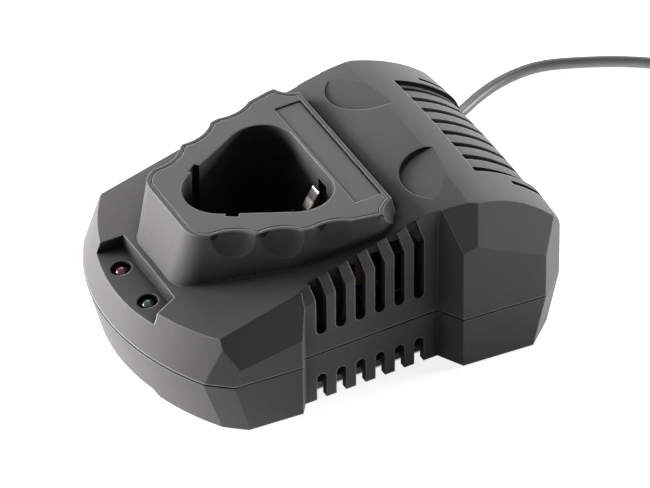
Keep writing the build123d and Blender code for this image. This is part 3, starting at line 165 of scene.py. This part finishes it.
def linear(code):
    """A hex colour as linear red, green, blue and alpha."""
    channels = [int(code[place:place + 2], 16) / 255 for place in (1, 3, 5)]
    return (*[c / 12.92 if c <= 0.04045 else ((c + 0.055) / 1.055) ** 2.4 for c in channels], 1)


def add_node(owner, kind, options={}, **inputs):
    """Adds a shader node to a material or the world, with its options, and its inputs as values or links.

    An input goes by its name, with _ for each space, or by _ and its number. A link comes from the output that is
    given, or from the first output of the node that is given.
    """
    tree = owner.node_tree
    made = tree.nodes.new("ShaderNode" + kind)
    for name, value in options.items():
        setattr(made, name, value)
    for name, value in inputs.items():
        socket = made.inputs[int(name[1:])] if name[0] == "_" else made.inputs[name.replace("_", " ")]
        if isinstance(value, bpy.types.Node):
            value = value.outputs[0]
        if isinstance(value, bpy.types.NodeSocket):
            tree.links.new(value, socket)
        else:
            socket.default_value = value
    return made


def new_material(name):
    """A material with no nodes yet."""
    material = bpy.data.materials.new(name)
    material.use_nodes = True
    material.node_tree.nodes.clear()
    return material


def dress(names, material):
    """Gives CAD nodes a material."""
    for name in names:
        data = nodes[name].data
        data.materials.clear()
        data.materials.append(material)


# Flexible PVC, extruded: satin, a little mottled, with faint drawing marks about a millimetre long.
CORD_DARK = linear("#3b3b3c")
CORD_LIGHT = linear("#4a4a4b")
CORD_MARKS = 900.0         # a metre, so 1.1 mm each
cord_pvc = new_material("cord_flexible_pvc")
place = add_node(cord_pvc, "TexCoord").outputs["Object"]
mottle = add_node(cord_pvc, "TexNoise", Vector=place, Scale=CORD_MARKS, Detail=3.0)
tone = add_node(cord_pvc, "Mix", {"data_type": "RGBA"}, Factor=mottle, _6=CORD_DARK, _7=CORD_LIGHT)
bump = add_node(cord_pvc, "Bump", Height=mottle, Strength=0.15, Distance=0.0002)
shader = add_node(cord_pvc, "BsdfPrincipled", Base_Color=tone.outputs[2], Roughness=0.42, Normal=bump)
add_node(cord_pvc, "OutputMaterial", Surface=shader)
cord.data.materials.append(cord_pvc)
dress(["cord_sheath_end", "plug_body"], cord_pvc)

# ---- Housing ------------------------------------------------------------------------------------------------
# Two injection-moulded halves of charcoal ABS, screwed together from below. The mould is spark eroded, which
# leaves a fine matt grain, and its arrises are slightly rounded. A pale painted highlight runs along them, and
# painted shade darkens its hollows and the slots' ends under the tower.
HOUSING_TONE = "#51504f"
ARRIS_HIGHLIGHT_TONE = linear("#a2a29f")
GRAIN_SIZE = 0.00045       # metres, coarser than the real grain so that it shows
CLOUDS = 60.0              # a metre: uneven tone from handling, about 17 mm across
TONE_SPREAD = 0.08         # share by which they darken and lighten the tone
ARRIS_RADIUS = 0.0007
ARRIS_HIGHLIGHT_START = 0.985         # cosine of the turn that the rounding gives a face's normal, where the painted highlight begins
ARRIS_HIGHLIGHT_FULL = 0.8
HOLLOW_REACH = 0.03        # metres round a point within which the charger's own shape casts painted shade on it
HOLLOW_BLACK = 0.57        # share of open sky at which the painted shade in a hollow is black, and at which there is none
HOLLOW_LIT = 0.95
# Painted shade: the slots' ends under the tower are painted black.
SLOT_END = 0.0388          # half width inside which only the slots' ends face sideways
SLOT_LAST = 0.018          # the last slot ends in front of this
SIDEWAYS = 0.99            # cosine to the side from which a face counts as a slot's end


def shades(code, spread):
    """A hex colour made darker and lighter by a share, as linear red, green, blue and alpha."""
    return [tuple(share * c for c in linear(code)[:3]) + (1,) for share in (1 - spread, 1 + spread)]


def painted_slot_end_shade(material, place, geometry):
    """One on the slots' ends under the tower, which are painted black as painted shade, and nothing elsewhere."""
    axes = add_node(material, "SeparateXYZ", Vector=place)
    facing = add_node(material, "SeparateXYZ", Vector=geometry.outputs["True Normal"])
    turned = add_node(material, "Math", {"operation": "ABSOLUTE"}, _0=facing.outputs["X"])
    sideways = add_node(material, "Math", {"operation": "GREATER_THAN"}, _0=turned, _1=SIDEWAYS)
    from_middle = add_node(material, "Math", {"operation": "ABSOLUTE"}, _0=axes.outputs["X"])
    inward = add_node(material, "Math", {"operation": "LESS_THAN"}, _0=from_middle, _1=SLOT_END)
    forward = add_node(material, "Math", {"operation": "LESS_THAN"}, _0=axes.outputs["Y"], _1=SLOT_LAST)
    within = add_node(material, "Math", {"operation": "MULTIPLY"}, _0=inward, _1=forward)
    return add_node(material, "Math", {"operation": "MULTIPLY"}, _0=sideways, _1=within)


def moulded_plastic(name, tone_code, roughness, grain, slotted=False):
    """Spark-eroded ABS with rounded arrises, a pale painted highlight along them, and painted shade in its
    hollows.
    """
    material = new_material(name)
    place = add_node(material, "TexCoord").outputs["Object"]
    geometry = add_node(material, "NewGeometry")
    grain_noise = add_node(material, "TexNoise", Vector=place, Scale=1 / GRAIN_SIZE, Detail=2.0, Roughness=0.6)
    cloud = add_node(material, "TexNoise", Vector=place, Scale=CLOUDS, Detail=4.0)
    darker, lighter = shades(tone_code, TONE_SPREAD)
    base = add_node(material, "Mix", {"data_type": "RGBA"}, Factor=cloud, _6=darker, _7=lighter)
    speckle = add_node(material, "MapRange", Value=grain_noise, From_Min=0.3, From_Max=0.7, To_Min=1 - grain,
                       To_Max=1 + grain)
    grained = add_node(material, "VectorMath", {"operation": "SCALE"}, _0=base.outputs[2], Scale=speckle)
    # Painted highlight: the colour turns pale along the rounded arrises.
    round_edge = add_node(material, "Bevel", {"samples": 6}, Radius=ARRIS_RADIUS)
    facing = add_node(material, "VectorMath", {"operation": "DOT_PRODUCT"}, _0=round_edge,
                      _1=geometry.outputs["True Normal"])
    arris_highlight = add_node(material, "MapRange", Value=facing.outputs["Value"], From_Min=ARRIS_HIGHLIGHT_START, From_Max=ARRIS_HIGHLIGHT_FULL)
    edged = add_node(material, "Mix", {"data_type": "RGBA"}, Factor=arris_highlight, _6=grained, _7=ARRIS_HIGHLIGHT_TONE)
    # Painted shade: the colour darkens to black in hollows that the part's own shape hides from the sky.
    open_sky = add_node(material, "AmbientOcclusion", {"samples": 8, "only_local": True}, Distance=HOLLOW_REACH)
    reached = add_node(material, "MapRange", Value=open_sky.outputs["AO"], From_Min=HOLLOW_BLACK,
                       From_Max=HOLLOW_LIT)
    lit = reached
    # Painted shade: the slots' ends under the tower go black.
    if slotted:
        painted_slot_shade = painted_slot_end_shade(material, place, geometry)
        lit = add_node(material, "Math", {"operation": "SUBTRACT"}, _0=reached, _1=painted_slot_shade)
    lit = add_node(material, "Math", {"operation": "MAXIMUM"}, _0=lit, _1=0.0)
    shaded = add_node(material, "VectorMath", {"operation": "SCALE"}, _0=edged.outputs[2], Scale=lit)
    dull = add_node(material, "MapRange", Value=reached, To_Min=1.0, To_Max=roughness)
    bump = add_node(material, "Bump", Height=grain_noise, Strength=0.25, Distance=0.0001, Normal=round_edge)
    shader = add_node(material, "BsdfPrincipled", Base_Color=shaded, Roughness=dull, Normal=bump,
                      Specular_IOR_Level=0.16, Sheen_Weight=0.04, Sheen_Roughness=0.35)
    add_node(material, "OutputMaterial", Surface=shader)
    return material


dress(["upper_housing", "lower_housing"],
      moulded_plastic("housing_spark_eroded_abs", HOUSING_TONE, roughness=0.5, grain=0.10, slotted=True))

# ---- Battery socket -----------------------------------------------------------------------------------------
# The insert with the rim plate and the battery well, snapped into the tower. It is the same ABS, moulded
# smoother, so it is a little lighter and has less grain.
SOCKET_TONE = "#5c5c5b"
# Like the housing, it has the painted highlight along its arrises and painted shade in its hollows, which paints
# its battery well dark.
dress(["battery_socket"], moulded_plastic("socket_satin_abs", SOCKET_TONE, roughness=0.42, grain=0.05))

# ---- Contacts -----------------------------------------------------------------------------------------------
# Spring strip, stamped and bent, then nickel plated: bright, with rolling marks along its length. The positive
# leaf has a painted dark reflection above its bend, up to its sheared end.
NICKEL_TONE = linear("#8c8984")
DARK_REFLECTION_TONE = linear("#33312f")
DARK_REFLECTION_BAND = (0.0441, 0.0449)        # heights between which the painted dark reflection sets in
SHEARED_END = (0.0470, 0.0474)
ROLLING_MARKS = (8000, 300, 300)  # a metre: 0.12 mm wide, 3 mm long
plated_spring = new_material("nickel_plated_spring_strip")
place = add_node(plated_spring, "TexCoord").outputs["Object"]
height = add_node(plated_spring, "SeparateXYZ", Vector=place).outputs["Z"]
# Painted dark reflection: a dark band painted on the leaf between these heights.
sets_in = add_node(plated_spring, "MapRange", Value=height, From_Min=DARK_REFLECTION_BAND[0], From_Max=DARK_REFLECTION_BAND[1])
below_end = add_node(plated_spring, "MapRange", Value=height, From_Min=SHEARED_END[0], From_Max=SHEARED_END[1],
                     To_Min=1.0, To_Max=0.0)
painted_reflection = add_node(plated_spring, "Math", {"operation": "MULTIPLY"}, _0=sets_in, _1=below_end)
nickel = add_node(plated_spring, "Mix", {"data_type": "RGBA"}, Factor=painted_reflection, _6=NICKEL_TONE, _7=DARK_REFLECTION_TONE)
stretched = add_node(plated_spring, "Mapping", Vector=place, Scale=ROLLING_MARKS)
rolling = add_node(plated_spring, "TexNoise", Vector=stretched, Scale=1.0, Detail=2.0)
rough = add_node(plated_spring, "MapRange", Value=rolling, To_Min=0.2, To_Max=0.42)
shader = add_node(plated_spring, "BsdfPrincipled", Base_Color=nickel.outputs[2], Metallic=1.0, Roughness=rough)
add_node(plated_spring, "OutputMaterial", Surface=shader)
dress(["contact_positive", "contact_negative", "contact_sense", "contact_roots"], plated_spring)

# ---- Lamps --------------------------------------------------------------------------------------------------
# Five-millimetre indicator lamps, standing on their board behind round holes of the front ridge. They are cast
# in tinted epoxy and unlit, which gives a deep, slightly cloudy colour under a glossy dome.
EPOXY_IOR = 1.52
EPOXY_CLOUDS = 700.0       # a metre, so 1.4 mm each


def lamp_epoxy(name, deep, bright):
    """Unlit tinted epoxy between two tones."""
    material = new_material(name)
    place = add_node(material, "TexCoord").outputs["Object"]
    cloud = add_node(material, "TexNoise", Vector=place, Scale=EPOXY_CLOUDS)
    tint = add_node(material, "Mix", {"data_type": "RGBA"}, Factor=cloud, _6=linear(deep), _7=linear(bright))
    shader = add_node(material, "BsdfPrincipled", Base_Color=tint.outputs[2], Roughness=0.14, IOR=EPOXY_IOR)
    add_node(material, "OutputMaterial", Surface=shader)
    return material


dress(["lamp_red"], lamp_epoxy("red_lamp_epoxy", "#360d14", "#6a1c2a"))
dress(["lamp_green"], lamp_epoxy("green_lamp_epoxy", "#0b2a17", "#185232"))


# ---- Boards and wires ---------------------------------------------------------------------------------------
# Two boards of pressed paper laminate, tan and half glossy with solder resist, joined by a grey PVC ribbon. The
# lead's two cores have brown PVC insulation and run from the clamp to the main board.
PAPER_FIBRES = 400.0       # a metre, so 2.5 mm each
INSULATION_MARKS = 800.0   # a metre, so 1.25 mm each
PLAIN_SPREAD = 0.12        # share by which the tone of such a finish varies


def plain_finish(name, code, roughness, marks, metallic=0.0):
    """A finish with so many marks a metre, which are slightly raised and vary a little in tone."""
    material = new_material(name)
    place = add_node(material, "TexCoord").outputs["Object"]
    cloud = add_node(material, "TexNoise", Vector=place, Scale=marks, Detail=3.0)
    darker, lighter = shades(code, PLAIN_SPREAD)
    tone = add_node(material, "Mix", {"data_type": "RGBA"}, Factor=cloud, _6=darker, _7=lighter)
    bump = add_node(material, "Bump", Height=cloud, Strength=0.2, Distance=0.0001)
    shader = add_node(material, "BsdfPrincipled", Base_Color=tone.outputs[2], Roughness=roughness,
                      Metallic=metallic, Normal=bump)
    add_node(material, "OutputMaterial", Surface=shader)
    return material


dress(["circuit_board", "lamp_board"],
      plain_finish("paper_laminate", "#8a7748", roughness=0.45, marks=PAPER_FIBRES))
dress(["lamp_ribbon"], plain_finish("grey_ribbon_pvc", "#8d8d90", roughness=0.45, marks=INSULATION_MARKS))
dress(["mains_wires"], plain_finish("core_pvc", "#5a3420", roughness=0.4, marks=INSULATION_MARKS))

# ---- Transformer --------------------------------------------------------------------------------------------
# A core of sintered ferrite, dark and matt like slate, round a winding wrapped in glossy yellow polyester tape.
# The winding sits on a former of black nylon.
FERRITE_GRAIN = 2500.0     # a metre: 0.4 mm each, coarser than the real grain so that it shows
TAPE_CREASES = 300.0       # a metre, so 3.3 mm each
dress(["transformer_core"], plain_finish("sintered_ferrite", "#35353a", roughness=0.7, marks=FERRITE_GRAIN))
dress(["transformer_winding"], plain_finish("polyester_tape", "#8a7228", roughness=0.3, marks=TAPE_CREASES))

# ---- Nylon pieces -------------------------------------------------------------------------------------------
# Glass-filled nylon, injection moulded: black, matt and faintly streaked by the glass. The contact carrier, the
# transformer's former, the bar that clamps the lead and the tie round its coil are of it.
GLASS_STREAKS = 1500.0     # a metre, so 0.7 mm each
dress(["contact_carrier", "transformer_bobbin", "cord_clamp", "coil_tie"],
      plain_finish("glass_filled_nylon", "#262626", roughness=0.55, marks=GLASS_STREAKS))

# ---- Other parts on the main board --------------------------------------------------------------------------
# Capacitors in shrunk navy sleeves, a fuse of glass with nickel caps, a rectifier and a transistor moulded in
# black epoxy, and the transistor's heatsink, a bare aluminium extrusion with a satin shine.
SLEEVE_WRINKLES = 200.0    # a metre, so 5 mm each
FUSE_CLOUDS = 500.0        # a metre, so 2 mm each
MOULDING_GRAIN = 2000.0    # a metre, so 0.5 mm each
DIE_MARKS = 900.0          # a metre, so 1.1 mm each
dress(["input_capacitor", "output_capacitors"],
      plain_finish("shrunk_sleeve", "#20242f", roughness=0.3, marks=SLEEVE_WRINKLES))
dress(["fuse"], plain_finish("glass_and_nickel", "#b9bcbc", roughness=0.2, marks=FUSE_CLOUDS))
dress(["power_transistor", "rectifier"],
      plain_finish("moulded_epoxy", "#1c1c1c", roughness=0.5, marks=MOULDING_GRAIN))
dress(["heatsink"],
      plain_finish("extruded_aluminium", "#c2c2c4", roughness=0.35, marks=DIE_MARKS, metallic=1.0))

# ---- Screws and plug pins -----------------------------------------------------------------------------------
# Thread-forming screws of zinc-plated steel, cool grey and satin. The plug's round pins are turned brass, nickel
# plated, which looks warmer and brighter.
ZINC_SPANGLE = 1500.0      # a metre, so 0.7 mm each
TURNING_MARKS = 1200.0     # a metre, so 0.8 mm each
dress(["lamp_screws", "board_screws", "housing_screws", "clamp_screws"],
      plain_finish("zinc_plated_steel", "#b4b5b8", roughness=0.35, marks=ZINC_SPANGLE, metallic=1.0))
dress(["plug_pins"],
      plain_finish("nickel_plated_brass", "#cfc9bb", roughness=0.25, marks=TURNING_MARKS, metallic=1.0))

# ---- Feet and strain relief ---------------------------------------------------------------------------------
# Moulded black rubber, matt. The four feet are pressed into the underside, and the ribbed strain relief is held
# between the two halves where the lead leaves them.
RUBBER_BLOOM = 1800.0      # a metre, so 0.6 mm each
dress(["rubber_feet", "grommet"],
      plain_finish("moulded_rubber", "#2b2b2b", roughness=0.6, marks=RUBBER_BLOOM))

# ---- Floor --------------------------------------------------------------------------------------------------
# A matt white table top that runs out of sight in a white studio. Painted pools of light glow on it in front of
# and behind the charger, lighting it from the table, though the eye and gloss don't see them. A painted shadow
# keeps the table dark under the skirt.
FLOOR_SIZE = 6.0           # metres, as all lengths here are
TABLE_TONE = linear("#e8e8e8")
PALE = 0.85                # what makes the lit table white to the eye and in gloss
# Painted pools of light, which glow on the table for the light that it throws back:
POOLS = [                  # middle, radius and strength
    ((-0.12, -0.14), 0.17, 4.7),
    ((-0.05, 0.24), 0.16, 6.9),
    ((0.16, 0.14), 0.10, 1.5),
    ((-0.30, 0.50), 0.30, 6.6),
]
POOL_EDGE = (0.6, 1.3)     # times the radius, between which a pool fades out
SHADOW_HALF = 0.0376       # half width of the painted shadow under the skirt, at SHADOW_START
SHADOW_START = -0.0216
SHADOW_TAPER = 0.0915      # what that half width loses for each metre towards the back
SHADOW_END = 0.034         # half its length
SHADOW_EDGE = 0.0005       # over which it fades out
WHITE = (1, 1, 1, 1)
bpy.ops.mesh.primitive_plane_add(size=FLOOR_SIZE)
floor = bpy.context.object
floor.name = "studio_floor"
table_white = new_material("studio_table_white")
place = add_node(table_white, "TexCoord").outputs["Object"]
axes = add_node(table_white, "SeparateXYZ", Vector=place)


def pool_of_light(middle, radius, strength):
    """A soft round painted pool of light, which glows on the table."""
    offset = add_node(table_white, "VectorMath", {"operation": "SUBTRACT"}, _0=place, _1=(*middle, 0))
    distance = add_node(table_white, "VectorMath", {"operation": "LENGTH"}, _0=offset)
    return add_node(table_white, "MapRange", Value=distance.outputs["Value"], From_Min=POOL_EDGE[0] * radius,
                    From_Max=POOL_EDGE[1] * radius, To_Min=strength, To_Max=0.0)


def seen_directly(owner):
    """One for what the eye sees straight, in gloss or through glass, and nothing for other light."""
    ray = add_node(owner, "LightPath").outputs
    mirrored = add_node(owner, "Math", {"operation": "MAXIMUM"}, _0=ray["Is Glossy Ray"],
                        _1=ray["Is Transmission Ray"])
    return add_node(owner, "Math", {"operation": "MAXIMUM"}, _0=ray["Is Camera Ray"], _1=mirrored)


pools = 0.0
for pool in POOLS:
    pools = add_node(table_white, "Math", {"operation": "ADD"}, _0=pool_of_light(*pool), _1=pools)
# Painted shadow: under the skirt the table gets no white glow, so it stays dark.
depth = add_node(table_white, "Math", {"operation": "SUBTRACT"}, _0=axes.outputs["Y"], _1=SHADOW_START)
taper = add_node(table_white, "Math", {"operation": "MULTIPLY"}, _0=depth, _1=SHADOW_TAPER)
sideways = add_node(table_white, "Math", {"operation": "ABSOLUTE"}, _0=axes.outputs["X"])
spread = add_node(table_white, "Math", {"operation": "ADD"}, _0=sideways, _1=taper)
beyond_side = add_node(table_white, "Math", {"operation": "SUBTRACT"}, _0=spread, _1=SHADOW_HALF)
lengthways = add_node(table_white, "Math", {"operation": "ABSOLUTE"}, _0=axes.outputs["Y"])
beyond_end = add_node(table_white, "Math", {"operation": "SUBTRACT"}, _0=lengthways, _1=SHADOW_END)
beyond = add_node(table_white, "Math", {"operation": "MAXIMUM"}, _0=beyond_side, _1=beyond_end)
outside = add_node(table_white, "MapRange", Value=beyond, From_Min=-SHADOW_EDGE, From_Max=SHADOW_EDGE,
                   To_Min=0.0, To_Max=PALE)
# The table glows white for the eye and gloss outside the painted shadow, and with the painted pools of light for
# all other light.
matt = add_node(table_white, "BsdfDiffuse", Color=TABLE_TONE)
pale = add_node(table_white, "Emission", Color=WHITE, Strength=outside)
pooled = add_node(table_white, "Emission", Color=WHITE, Strength=pools)
glow = add_node(table_white, "MixShader", Fac=seen_directly(table_white), _1=pooled, _2=pale)
both = add_node(table_white, "AddShader", _0=matt, _1=glow)
add_node(table_white, "OutputMaterial", Surface=both)
floor.data.materials.append(table_white)

# ---- Lamps of the studio ------------------------------------------------------------------------------------
# Square soft boxes, most of them low: two shine along the table from the front left and one from behind. The
# charger's right side has none of its own, and is lit by little but the painted pools of light on the table.
BOX_SIZE = 0.55
BOX_DISTANCE = 1.3
AIM_HEIGHT = 0.03
SOFT_BOXES = {             # direction from the charger, and watts
    "front_lamp": ((-0.5, -0.9, 0.12), 15),
    "front_left_lamp": ((-0.9, -0.9, 0.12), 40),
    "high_left_lamp": ((-1.0, 0.2, 0.9), 4),
    "rear_left_lamp": ((-0.6, 0.8, 0.5), 7),
    "rear_lamp": ((0.12, 1.0, 0.1), 27),
}
for name, (direction, power) in SOFT_BOXES.items():
    box = bpy.data.lights.new(name, "AREA")
    box.size = BOX_SIZE
    box.energy = power
    lamp = bpy.data.objects.new(name, box)
    towards = Vector(direction).normalized()
    lamp.location = towards * BOX_DISTANCE + Vector((0, 0, AIM_HEIGHT))
    lamp.rotation_euler = towards.to_track_quat("Z", "Y").to_euler()
    scene.collection.objects.link(lamp)

# ---- Studio walls -------------------------------------------------------------------------------------------
# Matt white walls, too far off to light the charger much. The eye and glossy surfaces see them as plain white.
WALL_LIGHT = 0.01
world = bpy.data.worlds.new("studio_world")
scene.world = world
world.use_nodes = True
world.node_tree.nodes.clear()
surround = add_node(world, "Background", Color=WHITE, Strength=WALL_LIGHT)
backdrop = add_node(world, "Background", Color=WHITE, Strength=1.0)
walls = add_node(world, "MixShader", Fac=seen_directly(world), _1=surround, _2=backdrop)
add_node(world, "OutputWorld", Surface=walls)

scene.view_settings.view_transform = "Standard"

bpy.context.view_layer.update()
